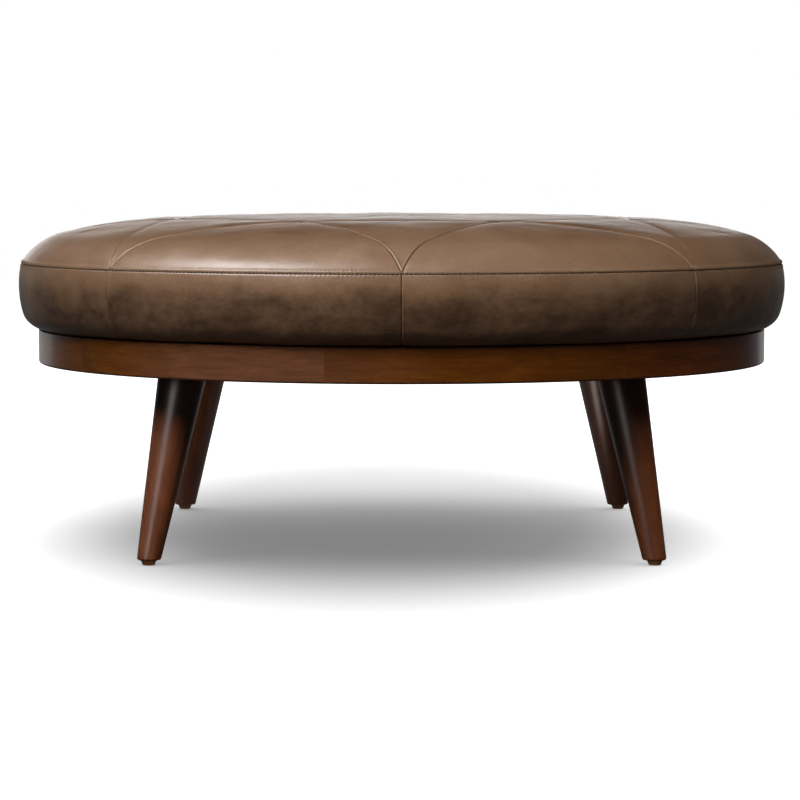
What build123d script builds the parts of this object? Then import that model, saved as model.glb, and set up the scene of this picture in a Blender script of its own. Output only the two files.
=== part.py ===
from build123d import *
import os
from math import cos, radians, sin

# A round upholstered ottoman: a crowned leather cushion in an eight-pointed star of sewn panels, on a round wooden
# base with four splayed, tapered legs.
# Lengths are in millimetres. The floor is Z = 0, the middle of the ottoman is X = Y = 0, and the front is -Y.
# An azimuth is a plan angle from the front, growing towards +X. Shapes are drawn at the front and turned to place.

# Counts
panel_count = 8
leg_count = 4
staples_per_panel = 6
pitch = 360 / panel_count

# Fits
fit_gap = 0.2
cut_overrun = 5.0

# Wooden base ring, in eight segments
ring_underside_height = 224.3
ring_height = 42.0
ring_setback = 21.7
ring_thickness = 32.0
ring_lower_round = 3.0
ring_upper_round = 1.5
ring_first_joint = -11.0
dowel_diameter = 8.0
dowel_length = 40.0
dowel_spacing = 20.0

# Cross rails, let into the ring and half lapped in the middle
rail_width = 80.0
rail_height = 16.0
rail_housing = 20.0

# Legs, leaning outwards on the diagonals
first_leg_azimuth = 45.0
splay_angle = 14.0
leg_inset = 60.8
leg_recess = 7.7
leg_top_diameter = 58.5
leg_foot_diameter = 28.0
leg_foot_round = 2.5
leg_top_chamfer = 1.0
block_length = 72.0
block_rise = 2.2

# Nail-on glides
glide_height = 6.0
glide_top_diameter = 19.0
glide_floor_diameter = 14.0
glide_edge_round = 0.8
nail_diameter = 2.6
nail_length = 18.0

# Hanger bolts and their threaded inserts
bolt_diameter = 8.0
bolt_wood_length = 36.0
bolt_machine_length = 14.0
bolt_chamfer = 1.2
insert_diameter = 13.0
insert_length = 12.0

# Countersunk wood screws
screw_diameter = 4.5
screw_length = 24.0
screw_tip_length = 5.0
screw_head_diameter = 9.0
screw_head_height = 2.5
screw_recess_length = 4.6
screw_recess_width = 1.0
screw_recess_depth = 1.4
screw_spread = 54.0
counterbore_depth = 6.0
counterbore_diameter = 11.0
seat_screw_radius = 230.0

# Cushion outline: normals are measured from straight up, so 90 is level and 180 faces the floor
rim_radius = 480.0
boxing_height = 82.0
crown_shoulder_radius = 84.1
dome_edge_normal = 0.9
crown_edge_normal = 13.0
crown_rim_normal = 58.2
boxing_rim_normal = 78.7
belly_low_normal = 105.6
boxing_lead_in = 4.0
roll_radius = 27.5

# Cushion layers
leather_thickness = 1.5
seam_depth = 7.0
edge_roll = 2.5
ease = 0.3
wadding_gap = 0.7
dust_cover_thickness = 0.8
dust_cover_margin = 5.0
deck_thickness = 15.0
hem_width = 23.0

# Star of seams on the top
star_ring_radius = 303.0
star_tip_width = 3.0
dome_margin = 8.0

# Staples of the hem
staple_crown = 10.0
staple_wire = 1.2
staple_flat = 0.6
staple_leg = 8.0

# Heights and places worked out from the sizes above
ring_top = ring_underside_height + ring_height
ring_outer_radius = rim_radius - ring_setback
ring_inner_radius = ring_outer_radius - ring_thickness
rail_underside = ring_top - rail_height
leg_seat_height = ring_underside_height + leg_recess
leg_top_radius = ring_inner_radius - leg_inset
hem_underside = ring_top + dust_cover_thickness
deck_underside = hem_underside + leather_thickness
deck_top = deck_underside + deck_thickness
foam_inset = leather_thickness + deck_thickness
rim_height = hem_underside + boxing_height


def normal(angle):
    """Unit vector, in a radius and height plane, that leans this far from straight up."""
    return Vector(sin(radians(angle)), cos(radians(angle)))


def polar(radius, azimuth):
    return Vector(radius * sin(radians(azimuth)), -radius * cos(radians(azimuth)))


def turned(shape, azimuth):
    return Rot(0, 0, azimuth) * shape


def arc_between(centre, radius, start, end):
    points = [centre + normal(angle) * radius for angle in (start, (start + end) / 2, end)]
    return ThreePointArc(*points)


def chain_point(start, radius, from_angle, to_angle):
    """End of an arc that leaves start, with its normal turning between the two angles."""
    return start + (normal(to_angle) - normal(from_angle)) * radius


# Arcs of the cushion outline, tangent to each other except at the sewn rim
rim = Vector(rim_radius, rim_height)
shoulder_end = chain_point(rim, crown_shoulder_radius, crown_rim_normal, crown_edge_normal)
dome_edge_radius = star_ring_radius * cos(radians(pitch / 2)) - dome_margin
crown_spread = sin(radians(crown_edge_normal)) - sin(radians(dome_edge_normal))
crown_radius = (shoulder_end.X - dome_edge_radius) / crown_spread
dome_edge = chain_point(shoulder_end, crown_radius, crown_edge_normal, dome_edge_normal)
dome_radius = dome_edge_radius / sin(radians(dome_edge_normal))
top_centre = chain_point(dome_edge, dome_radius, dome_edge_normal, 0)
belly_drop = cos(radians(boxing_rim_normal)) - cos(radians(belly_low_normal))
belly_radius = (boxing_height - roll_radius * (1 + cos(radians(belly_low_normal)))) / belly_drop
roll_start = chain_point(rim, belly_radius, boxing_rim_normal, belly_low_normal)
roll_end = chain_point(roll_start, roll_radius, belly_low_normal, 180)
dome_centre = top_centre - normal(0) * dome_radius
crown_centre = dome_edge - normal(dome_edge_normal) * crown_radius
shoulder_centre = rim - normal(crown_rim_normal) * crown_shoulder_radius
belly_centre = rim - normal(boxing_rim_normal) * belly_radius
roll_centre = roll_end - normal(180) * roll_radius
hem_inner_radius = roll_end.X - hem_width
deck_radius = roll_end.X - fit_gap


def top_line(inset):
    """The crown, from the middle to the rim, moved inwards by inset."""
    return [
        arc_between(dome_centre, dome_radius - inset, 0, dome_edge_normal),
        arc_between(crown_centre, crown_radius - inset, dome_edge_normal, crown_edge_normal),
        arc_between(shoulder_centre, crown_shoulder_radius - inset, crown_edge_normal, crown_rim_normal),
    ]


def boxing_line(inset):
    """The side, from just above the rim to the flat underside, moved inwards by inset."""
    lead_in = boxing_rim_normal - boxing_lead_in
    return [
        arc_between(belly_centre, belly_radius - inset, lead_in, belly_low_normal),
        arc_between(roll_centre, roll_radius - inset, belly_low_normal, 180),
    ]


def shell(line, inset, depth):
    """Solid of revolution between the outline moved in by inset and by depth."""
    outer, inner = line(inset), line(depth)
    ends = [Line(outer[-1] @ 1, inner[-1] @ 1), Line(inner[0] @ 0, outer[0] @ 0)]
    return revolve(Plane.XZ * make_face(outer + inner + ends), Axis.Z)


def prism(outline, inset):
    """Upright prism over a plan outline drawn in by inset, taller than the cushion."""
    face = make_face(Polyline(*outline, close=True))
    if inset:
        face = offset(face, amount=-inset, kind=Kind.INTERSECTION)
    return extrude(face, amount=top_centre.Y + cut_overrun)


def disc(radius, low, high, inner_radius=0):
    """Flat disc or washer between two heights."""
    plate = Pos(0, 0, low) * Cylinder(radius, high - low, align=(Align.CENTER, Align.CENTER, Align.MIN))
    if inner_radius:
        hole_height = high - low + 2 * cut_overrun
        hole = Cylinder(inner_radius, hole_height, align=(Align.CENTER, Align.CENTER, Align.MIN))
        plate = plate - Pos(0, 0, low - cut_overrun) * hole
    return plate


# Plan outlines of the leather panels, drawn at the front. They run past the rim, where the crown ends by itself.
inner_left = polar(star_ring_radius, -pitch / 2)
inner_right = polar(star_ring_radius, pitch / 2)
tip_right = Vector(star_tip_width / 2, -rim_radius)
far_radius = rim_radius + cut_overrun
tip_slope = (tip_right - inner_right).normalized()
tip_right_far = tip_right + tip_slope * (star_tip_width / 4)
tip_left_far = Vector(-tip_right_far.X, tip_right_far.Y)
next_tip_far = tip_left_far.rotate(Axis.Z, pitch)
past_rim = far_radius / cos(radians(pitch / 2))
centre_outline = [Vector(0, 0), inner_right, inner_left]
star_outline = [inner_left, inner_right, tip_right_far, tip_left_far]
rim_outline = [inner_right, tip_right_far, polar(past_rim, pitch / 4), polar(past_rim, 3 * pitch / 4), next_tip_far]
boxing_outline = [Vector(0, 0), polar(2 * rim_radius, 0), polar(2 * rim_radius, pitch)]


def top_block(outline, inset, depth):
    """Part of the crown over a plan outline, above the rim."""
    lid = disc(far_radius, rim_height + inset, top_centre.Y + cut_overrun)
    return shell(top_line, inset, depth) & lid & prism(outline, inset)


def boxing_block(inset, depth):
    """Part of the side between two upright seams, below the rim."""
    body = disc(far_radius + cut_overrun, 0, rim_height - inset)
    return shell(boxing_line, inset, depth) & body & prism(boxing_outline, inset)


def seam_edges(block, shows):
    """Edges of the curved faces that show, without those between two such faces."""
    faces = [face for face in block.faces() if face.geom_type != GeomType.PLANE and shows(face)]
    edges = [edge for face in faces for edge in face.edges()]
    return [edge for edge in edges if sum(edge.is_same(other) for other in edges) == 1]


def looks_up(face):
    return face.normal_at(face.center()).Z > 0


def looks_out(face):
    out = face.normal_at(face.center())
    spot = face.center()
    return out.X * spot.X + out.Y * spot.Y > 0


def top_panel(outline):
    """Leather panel of the top: its edges roll down into the seam allowances."""
    block = top_block(outline, 0, seam_depth - ease).solid()
    rolled = block.fillet(edge_roll, seam_edges(block, looks_up))
    return (rolled - top_block(outline, leather_thickness, seam_depth + cut_overrun)).solid()


def side_panel():
    """Leather panel of the side, with seam allowances and a hem that turns in under the deck."""
    block = boxing_block(0, seam_depth - ease).solid()
    edges = [edge for edge in seam_edges(block, looks_out) if edge.bounding_box().max.Z > hem_underside + edge_roll]
    tray = block.fillet(edge_roll, edges) - boxing_block(leather_thickness, seam_depth + cut_overrun)
    hem = disc(roll_end.X, hem_underside, deck_underside, hem_inner_radius) & prism(boxing_outline, 0)
    return tray + hem


def cushion_section(inset):
    """Half section of the whole cushion, with the outline moved in by inset."""
    top = top_line(inset)
    top_end = top[-1] @ 1
    slide = normal(crown_rim_normal + 90) * boxing_height
    top_low = top_end + slide
    top_corner = Vector(0, top_low.Y)
    under_top = make_face(top + [Polyline(top_end, top_low, top_corner, top[0] @ 0)])
    side = boxing_line(inset)
    side_start, side_end = side[0] @ 0, side[-1] @ 1
    roof = top_centre.Y + cut_overrun
    corners = [side_end, Vector(0, side_end.Y), Vector(0, roof), Vector(side_start.X, roof), side_start]
    within_side = make_face(side + [Polyline(*corners)])
    low = make_face(Polyline((0, 0), (2 * rim_radius, 0), (2 * rim_radius, top_low.Y), (0, top_low.Y), close=True))
    return (under_top + low) & within_side


def fibre_wrap():
    """Polyester wadding round the foam, standing up into each leather panel."""
    foam_hollow = cushion_section(foam_inset)
    deck_hollow = make_face(Polyline((0, 0), (roll_end.X, 0), (roll_end.X, deck_top), (0, deck_top), close=True))
    flat_top = (top_line(seam_depth)[0] @ 1).Y
    below = make_face(Polyline((0, 0), (2 * rim_radius, 0), (2 * rim_radius, flat_top), (0, flat_top), close=True))
    wrap = revolve(Plane.XZ * ((cushion_section(seam_depth) - foam_hollow - deck_hollow) & below), Axis.Z)
    inset = leather_thickness + wadding_gap
    root = (seam_depth + foam_inset) / 2
    pads = [top_block(outline, inset, root) for outline in (centre_outline, star_outline, rim_outline)]
    pads.append(boxing_block(inset, root) & disc(far_radius + cut_overrun, deck_top, rim_height))
    crowns = [turned(pad, pitch * place) for pad in pads for place in range(panel_count)]
    return (wrap + crowns).solid()


def foam_core():
    above_deck = disc(rim_radius, deck_top, top_centre.Y)
    return revolve(Plane.XZ * cushion_section(foam_inset + ease), Axis.Z) & above_deck


def staples():
    """Hem staples, crown down against the leather and legs up in the deck."""
    reach = Align.CENTER, Align.CENTER, Align.MIN
    crown = Box(staple_crown, staple_wire, staple_flat, align=reach)
    leg = Box(staple_flat, staple_wire, staple_leg, align=reach)
    shift = (staple_crown - staple_flat) / 2
    staple = crown + Pos(shift, 0, 0) * leg + Pos(-shift, 0, 0) * leg
    staple = Pos(0, -(hem_inner_radius + roll_end.X) / 2, hem_underside) * staple
    step = pitch / staples_per_panel
    return [turned(staple, step * (place + 1 / 2)) for place in range(panel_count * staples_per_panel)]


def screw_shape(gap):
    """Countersunk screw with its head's face at Z = 0, pointing down, grown by gap."""
    shank, head = screw_diameter / 2 + gap, screw_head_diameter / 2 + gap
    points = [(0, 0), (head, 0), (shank, -screw_head_height), (shank, screw_tip_length - screw_length), (0, -screw_length - gap)]
    return revolve(Plane.XZ * make_face(Polyline(*points, close=True)), Axis.Z)


def wood_screw():
    slot = Box(screw_recess_length, screw_recess_width, 2 * screw_recess_depth)
    return screw_shape(0) - slot - Rot(0, 0, 90) * slot


def screw_places():
    """Places of the screws at the front arm, before it is turned to each leg's azimuth."""
    sides = [-screw_spread / 2, screw_spread / 2]
    ring_seat = ring_inner_radius + rail_housing / 2
    down_to_ring = [Pos(side, -ring_seat, ring_top) for side in sides]
    down_to_block = [Pos(side, -(leg_top_radius + along), ring_top) for side in sides for along in sides]
    up_to_deck = [Pos(side, -seat_screw_radius, rail_underside + counterbore_depth) * Rot(180, 0, 0) for side in sides]
    return down_to_ring, down_to_block, up_to_deck


def at_each_arm(shape):
    return [turned(shape, first_leg_azimuth + 360 / leg_count * place) for place in range(leg_count)]


def fastener_cuts():
    """Holes that the screws need in the rails, the ring, the blocks, the dust cover and the deck."""
    down_to_ring, down_to_block, up_to_deck = screw_places()
    bore = Cylinder(counterbore_diameter / 2, counterbore_depth + cut_overrun, align=(Align.CENTER, Align.CENTER, Align.MIN))
    cuts = [place * screw_shape(fit_gap) for place in down_to_ring + down_to_block]
    cuts += [place * (screw_shape(fit_gap) + bore) for place in up_to_deck]
    return [copy for cut in cuts for copy in at_each_arm(cut)]


def rails(cuts):
    """Two rails on the diagonals, with a half lap where they cross."""
    length = 2 * (ring_inner_radius + rail_housing - fit_gap)
    rail = Pos(0, 0, rail_underside) * Box(rail_width, length, rail_height, align=(Align.CENTER, Align.CENTER, Align.MIN))
    lap = Box(rail_width + 2 * cut_overrun, rail_width + fit_gap, rail_height / 2 + cut_overrun)
    lap_shift = rail_height / 4 + cut_overrun / 2
    middle = rail_underside + rail_height / 2
    lower = turned(rail - Pos(0, 0, middle + lap_shift) * lap, first_leg_azimuth)
    upper = turned(rail - Pos(0, 0, middle - lap_shift) * lap, first_leg_azimuth + 90)
    return lower - cuts, upper - cuts


def ring_segments(cuts, dowel_holes):
    """Round wooden band in eight segments, notched for the rail ends."""
    band = disc(ring_outer_radius, ring_underside_height, ring_top, ring_inner_radius)
    rims = [edge for edge in band.edges().filter_by(GeomType.CIRCLE) if edge.radius > ring_inner_radius + fit_gap]
    rims.sort(key=lambda edge: edge.center().Z)
    band = band.solid().fillet(ring_lower_round, rims[:1])
    rims = [edge for edge in band.edges().filter_by(GeomType.CIRCLE) if edge.radius > ring_inner_radius + fit_gap]
    rims.sort(key=lambda edge: edge.center().Z)
    band = band.fillet(ring_upper_round, rims[-1:])
    notch_length = ring_inner_radius + rail_housing
    notch = Box(rail_width + fit_gap, notch_length, rail_height + cut_overrun, align=(Align.CENTER, Align.MAX, Align.MIN))
    band = band - at_each_arm(Pos(0, 0, rail_underside) * notch) - cuts - dowel_holes
    return [band & turned(prism(boxing_outline, 0), ring_first_joint + pitch * place) for place in range(panel_count)]


def dowels(gap):
    """Two dowels across each joint of the ring, level and square to the joint."""
    dowel = Rot(0, 90, 0) * Cylinder(dowel_diameter / 2 + gap, dowel_length + 2 * gap)
    middle = ring_underside_height + ring_height / 2
    radius = (ring_inner_radius + ring_outer_radius) / 2
    pair = [Pos(0, -radius, middle + shift) * dowel for shift in (-dowel_spacing / 2, dowel_spacing / 2)]
    return [turned(each, ring_first_joint + pitch * place) for place in range(panel_count) for each in pair]


# The front arm's leg seat: local Z runs up the leg's axis, and its origin is the middle of the leg's top
leg_seat = Pos(0, -leg_top_radius, leg_seat_height) * Rot(-splay_angle, 0, 0)
leg_length = (leg_seat_height - glide_height) / cos(radians(splay_angle))
foot_radius_out = leg_top_radius + leg_length * sin(radians(splay_angle))


def hanger_bolt(gap):
    length = bolt_wood_length + bolt_machine_length + 2 * gap
    shank = Cylinder(bolt_diameter / 2 + gap, length, align=(Align.CENTER, Align.CENTER, Align.MIN))
    shank = Pos(0, 0, -bolt_wood_length - gap) * shank
    if gap:
        return shank
    return chamfer(shank.edges().filter_by(GeomType.CIRCLE), bolt_chamfer)


def threaded_insert(gap):
    sleeve = Cylinder(insert_diameter / 2 + gap, insert_length + gap, align=(Align.CENTER, Align.CENTER, Align.MIN))
    if gap:
        return sleeve
    return sleeve - hanger_bolt(fit_gap)


def nail(gap):
    shank = Cylinder(nail_diameter / 2 + gap, nail_length + gap, align=(Align.CENTER, Align.CENTER, Align.MIN))
    return Pos(0, -foot_radius_out, glide_height) * shank


def leg():
    """Tapered leg: square to its axis at the top, cut level at the foot."""
    overhang = leg_foot_diameter
    taper = (leg_top_diameter - leg_foot_diameter) / 2 / leg_length
    low_radius = leg_foot_diameter / 2 - taper * overhang
    taper_body = Cone(low_radius, leg_top_diameter / 2, leg_length + overhang, align=(Align.CENTER, Align.CENTER, Align.MAX))
    top_edge = taper_body.edges().sort_by(Axis.Z)[-1:]
    body = leg_seat * chamfer(top_edge, leg_top_chamfer)
    body = split(body, bisect_by=Plane(origin=(0, 0, glide_height), z_dir=(0, 0, 1)), keep=Keep.TOP)
    body = fillet(body.faces().sort_by(Axis.Z)[0].edges(), leg_foot_round)
    return body - leg_seat * hanger_bolt(fit_gap) - nail(fit_gap)


def leg_block(cuts):
    """Wedge under the rail that the leg's top seats against."""
    low = ring_underside_height + block_rise
    blank = Box(rail_width, block_length, rail_underside - low, align=(Align.CENTER, Align.CENTER, Align.MIN))
    blank = Pos(0, -leg_top_radius, low) * blank
    wedge = split(blank, bisect_by=Plane(leg_seat), keep=Keep.TOP)
    wedge = wedge - leg_seat * hanger_bolt(fit_gap) - leg_seat * threaded_insert(fit_gap)
    return turned(wedge, first_leg_azimuth) - cuts


def glide():
    """Plastic button that narrows to the floor, with its nail up in the leg."""
    button = Cone(glide_floor_diameter / 2, glide_top_diameter / 2, glide_height, align=(Align.CENTER, Align.CENTER, Align.MIN))
    button = fillet(button.edges().filter_by(GeomType.CIRCLE), glide_edge_round)
    return Pos(0, -foot_radius_out, 0) * button + nail(0)


def build():
    """Every node of the ottoman, by name."""
    nodes = {}
    cuts = fastener_cuts()
    hem_staples = staples()

    panels = {"centre": top_panel(centre_outline), "star": top_panel(star_outline), "rim": top_panel(rim_outline)}
    panels["side"] = (side_panel() - hem_staples).solid()
    for name, panel in panels.items():
        for place in range(panel_count):
            nodes[f"{name}_panel_{place + 1}"] = turned(panel, pitch * place)

    nodes["fibre_wrap"] = fibre_wrap()
    nodes["foam_core"] = foam_core()
    nodes["seat_deck"] = disc(deck_radius, deck_underside, deck_top) - hem_staples - cuts
    nodes["dust_cover"] = disc(roll_end.X - dust_cover_margin, ring_top, hem_underside) - cuts
    nodes["hem_staples"] = Compound(hem_staples)

    nodes["lower_cross_rail"], nodes["upper_cross_rail"] = rails(cuts)
    for place, segment in enumerate(ring_segments(cuts, dowels(fit_gap))):
        nodes[f"ring_segment_{place + 1}"] = segment
    nodes["ring_dowels"] = Compound(dowels(0))

    leg_turn = 360 / leg_count
    one_leg, one_block = turned(leg(), first_leg_azimuth), leg_block(cuts)
    for place in range(leg_count):
        nodes[f"leg_{place + 1}"] = turned(one_leg, leg_turn * place)
        nodes[f"leg_block_{place + 1}"] = turned(one_block, leg_turn * place)
    nodes["foot_glides"] = Compound(at_each_arm(glide()))
    nodes["hanger_bolts"] = Compound(at_each_arm(leg_seat * hanger_bolt(0)))
    nodes["threaded_inserts"] = Compound(at_each_arm(leg_seat * threaded_insert(0)))

    screw = wood_screw()
    arms = [place * screw for places in screw_places() for place in places]
    nodes["wood_screws"] = Compound([copy for each in arms for copy in at_each_arm(each)])
    return nodes


os.makedirs("parts", exist_ok=True)
for node, shape in build().items():
    export_step(shape, f"parts/{node}.step")
    print(node, len(shape.solids()), round(shape.volume))
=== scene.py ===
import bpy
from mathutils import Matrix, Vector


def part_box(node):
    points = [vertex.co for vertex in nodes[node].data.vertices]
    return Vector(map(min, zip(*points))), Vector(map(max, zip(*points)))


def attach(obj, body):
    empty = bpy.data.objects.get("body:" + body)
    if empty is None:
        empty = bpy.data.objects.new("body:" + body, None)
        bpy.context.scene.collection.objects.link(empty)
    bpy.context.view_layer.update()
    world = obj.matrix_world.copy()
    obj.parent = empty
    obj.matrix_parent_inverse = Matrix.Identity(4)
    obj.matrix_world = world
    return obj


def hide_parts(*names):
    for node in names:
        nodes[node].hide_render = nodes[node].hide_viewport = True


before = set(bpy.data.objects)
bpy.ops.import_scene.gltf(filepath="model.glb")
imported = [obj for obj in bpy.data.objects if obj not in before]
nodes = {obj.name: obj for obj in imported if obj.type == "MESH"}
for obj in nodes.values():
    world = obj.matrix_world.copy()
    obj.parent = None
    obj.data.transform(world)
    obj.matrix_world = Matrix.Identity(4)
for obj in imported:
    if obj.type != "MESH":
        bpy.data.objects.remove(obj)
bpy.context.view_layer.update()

from math import atan, cos, pi, radians, sin

import bmesh
import bpy
import numpy as np
from mathutils import Vector, kdtree, noise

# A round leather ottoman. Lengths here are in millimetres and turn into metres when a mesh is made.
# Plan angles start at the front, -Y, and grow towards +X. Shapes are drawn at the front and turned to place.
mm = 0.001

# Counts
panel_count = 8
leg_count = 4
pitch = 2 * pi / panel_count

# Heights that the frame gives
hem_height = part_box("side_panel_1")[0].z / mm
deck_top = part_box("seat_deck")[1].z / mm
ring_reaches = [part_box(f"ring_segment_{place + 1}")[1].x for place in range(panel_count)]
ring_radius = max(ring_reaches) / mm

# Outline of the cushion, as tangent arcs: normals are measured from straight up
rim_radius = 480.0
boxing_height = 82.0
shoulder_radius = 84.1
dome_edge_normal = radians(0.9)
crown_edge_normal = radians(13.0)
crown_rim_normal = radians(58.2)
boxing_rim_normal = radians(78.7)
belly_low_normal = radians(105.6)
roll_radius = 27.5
hem_width = 23.0

# Star of seams on the top
star_ring_radius = 303.0
dome_margin = 8.0

# Leather, wadding and foam
leather_thickness = 1.5
seam_allowance = 4.5
shoulder_drop = 0.9
shoulder_reach = 9.0
tooth_height = 0.4
tug_height = 0.12
tug_pitch = 8.0
tug_wander = 3.0
tug_wander_length = 37.0
wear_width = 1.6
# Width of the dark band in a seam's fold, partly dirt and partly painted shade
fold_dirt_and_shade_width = 1.1
allowance_merge = 0.02
wadding_inset = 7.6
wadding_crown = 4.6
wadding_reach = 9.0
wadding_thickness = 8.0
foam_inset = 17.2

# How tight the leather is, from 0 to 1: on the dome, added by the shoulder, and by height on the side, where
# it is also painted shade
dome_pull = 0.45
shoulder_pull = 0.4
# On the side these are partly tightness and partly painted shade: darkest on the lower part, which turns
# downwards, and paler towards the rim; the band at the hem's edge is pale from tightness
side_pull_and_shade_heights = (0.02, 0.15, 0.4, 0.65, 0.92)
side_pulls_and_shade = (0.9, 0.24, 0.18, 0.3, 0.78)

# Unevenness of the filling, and wrinkles: how wide and high they are, and how far from a seam they start
swell_size = 95.0
swell_height = 1.1
ripple_size = 22.0
ripple_height = 0.16
wrinkle_size = 24.0
wrinkle_height = 0.14
wrinkle_flattening = 0.22
wrinkle_at_seam = 0.35
unevenness_reach = 14.0

# Noise: each panel has a seed of its own, which also moves it to another place on the hide, in metres
noise_stride = (17.3, 5.1, 9.7)
noise_octaves = 2
first_seed = 3
kind_seed_step = 11
ripple_seed_step = 5
hide_stride = 0.37

# Puckers at the inner corners of the star
pucker_folds = 7
pucker_height = 0.55
pucker_place = 14.0
pucker_width = 11.0
pucker_dip = 1.6
pucker_dip_width = 9.0

# Steps of the panels' grids, fine at a seam and coarser away from it
seam_step = 0.8
rim_seam_step = 0.6
rim_step = 1.7
slope_step = 4.0
field_step = 5.0
step_growth = 0.22
edge_point_count = 500

# Outward direction on the top: where it starts to lean, over what run, and how much it has leant at the rim
lean_start = 300.0
lean_run = 150.0
lean_at_rim = 0.5
rim_margin = 4.0

# Cloth simulation of the cover: rows and columns of each panel, the cloth, and how far a point may move
cloth_grids = {"centre": (20, 20), "star": (18, 22), "rim": (22, 56), "side": (20, 56)}
cloth_apex_share = 0.06
cloth_frames = 20
cloth_quality = 6
cloth_mass = 0.4
cloth_stretch_stiffness = 20
cloth_shear_stiffness = 8
cloth_bending_stiffness = 6.0
cloth_pressure = 1.6
cloth_surplus_share = 0.0015
cloth_hem_share = 0.6
cloth_reach = 3.0
cloth_sink = 0.6
cloth_share = 0.4

# Stitching of the rim
stitch_pitch = 5.0
stitch_length = 4.6
stitch_width = 1.5
stitch_slant = radians(24)
stitch_sink = 1.6
stitch_merge = 0.01
bead_rings = 7
bead_sides = 8

# Grids of the wadding and the foam: points round, rows of the top and rows of the side
wadding_grid = (288, 60, 26)
wadding_seam_skip = 4
foam_grid = (96, 24, 14)

# Wood: how much the legs splay, and how rough their lacquer and the ring's is
leg_splay = radians(14)
leg_haze = 0.3
ring_haze = 0.18

# Light, dark and pore colours of the legs' wood and of each segment of the ring. Each board's figure is moved
# # on by a shift in metres. A segment can have a second tone past a plan angle, and the two blend over some
# metres
# # to each side of it. The second tones are uneven stain, but the russet at the front left is also painted
# sheen.
leg_tone = ("784223", "4a2410", "220e05")
golden = ("784106", "4a2702", "1c0d02")
amber = ("80460c", "502805", "1f0f02")
umber = ("784622", "4e2a14", "22120a")
russet = ("825236", "56321e", "2a1810")
reddish = ("80400e", "4e2206", "1c0a02")
ring_tones = (umber, reddish, russet, amber, golden, amber, golden, golden)
board_shift = 0.31
# The eighth segment's russet past -39°, at the front left, is partly stain and partly painted sheen of the
# lacquer
ring_changes = {0: (radians(-1), amber), 3: (radians(150), russet), 7: (radians(-39), russet)}
change_blend = 0.06

# Studio: how bright the room is, and what a reflection sees of it. It sees a bright floor and room only
# towards the back, from none at the first value of a turn to all at the second, and less as it looks up.
bright_side = (-0.1, 0.995, 0.0)
floor_turn = (0.55, 0.85)
room_turn = (0.65, 0.95)
room_rise = (0.1, 0.36)
room_top = 0.04
mirrored_dim = 0.02
mirrored_room = 0.35
mirrored_floor = 0.2
room_light = 0.05
floor_half = 9.0

# The floor's glow to the camera grows outwards from under the ottoman, over these reaches in metres, from an
# oval
# # that is moved and squeezed: a painted shadow that deepens the real one cast by the floor's lamp
shadow_shift = (0.067, -0.178, 0.0)
shadow_squeeze = (2.31, 1.0, 1.0)
floor_near = 0.554
floor_far = 1.386
painted_shadow_glow = 0.22

# Lamps, in metres and watts: place, what it faces, size, power, what it gives, and the pieces it falls on.
# A light shapes a piece but isn't seen in its gloss, and a sheen is seen in the gloss alone.
cushion_front = (0, -0.15, 0.33)
lamp_plan = {
    "key": ((-1.05, -1.5, 1.75), cushion_front, (1.3, 0.9), 34, "light", "ottoman"),
    "fill": ((0.5, -1.6, 1.9), cushion_front, (1.6, 1.2), 18, "light", "ottoman"),
    "shoulder_strip": ((-1.3, -0.95, 2.1), cushion_front, (1.6, 0.7), 85, "sheen", "ottoman"),
    "over_floor": ((0.66, 0.92, 2.2), (0.66, 0.92, 0), (6.15, 7.0), 128, "both", "floor"),
    "crest_strip": ((-0.4, 3.0, 0.75), (-0.4, 0, 0.4), (2.6, 0.6), 18, "sheen", "top"),
    "ring_strip": ((-0.25, 1.6, 0.15), (-0.25, 0, 0.15), (3.1, 0.35), 1.1, "sheen", "ring"),
    "upright_strip": ((-1.25, -2.3, 0.65), cushion_front, (1.1, 0.9), 13, "sheen", "legs"),
    "left_back_strip": ((-1.46, -0.02, 0.15), (-0.31, 0.3, 0.15), (0.35, 0.4), 2, "both", "left back leg"),
    "right_back_strip": ((0.14, 0.06, 0.02), (0.31, 0.31, 1.0), (0.12, 0.5), 1.0, "sheen", "right back leg"),
    "back_fill": ((-0.6, -1.2, 0.25), (0, 0.3, 0.12), (0.3, 0.3), 3.5, "light", "back legs"),
    "low_fill": ((-0.1, -1.5, 0.03), (0, -0.4, 0.05), (1.6, 0.1), 4, "light", "glides"),
    "rear_fill": ((0.5, 3.2, 1.5), (0, 0.3, 0.2), (1.2, 0.8), 26, "both", "rear"),
}
rear_side_panels = (3, 4, 5, 6)
rear_ring_segments = (3, 4, 5, 6, 7)

# Camera, fitted to the photograph's outline of the cushion, the ring and the feet
frame_width_px = 800
focal_length_px = 2983.0
horizon_px = 174.8
camera_distance = 3791.0
camera_shift = -2.0
camera_height = 458.7
sensor_width = 36.0


# Outline

def lean(angle):
    """Unit vector, in a radius and height plane, that leans this far from straight up."""
    return np.array([sin(angle), cos(angle)])


rim = np.array([rim_radius, hem_height + boxing_height])
shoulder_centre = rim - lean(crown_rim_normal) * shoulder_radius
shoulder_end = shoulder_centre + lean(crown_edge_normal) * shoulder_radius
dome_edge_radius = star_ring_radius * cos(pitch / 2) - dome_margin
crown_spread = sin(crown_edge_normal) - sin(dome_edge_normal)
crown_radius = (shoulder_end[0] - dome_edge_radius) / crown_spread
crown_centre = shoulder_end - lean(crown_edge_normal) * crown_radius
dome_edge = crown_centre + lean(dome_edge_normal) * crown_radius
dome_radius = dome_edge_radius / sin(dome_edge_normal)
dome_centre = dome_edge - lean(dome_edge_normal) * dome_radius
belly_drop = cos(boxing_rim_normal) - cos(belly_low_normal)
belly_radius = (boxing_height - roll_radius * (1 + cos(belly_low_normal))) / belly_drop
belly_centre = rim - lean(boxing_rim_normal) * belly_radius
roll_start = belly_centre + lean(belly_low_normal) * belly_radius
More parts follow.
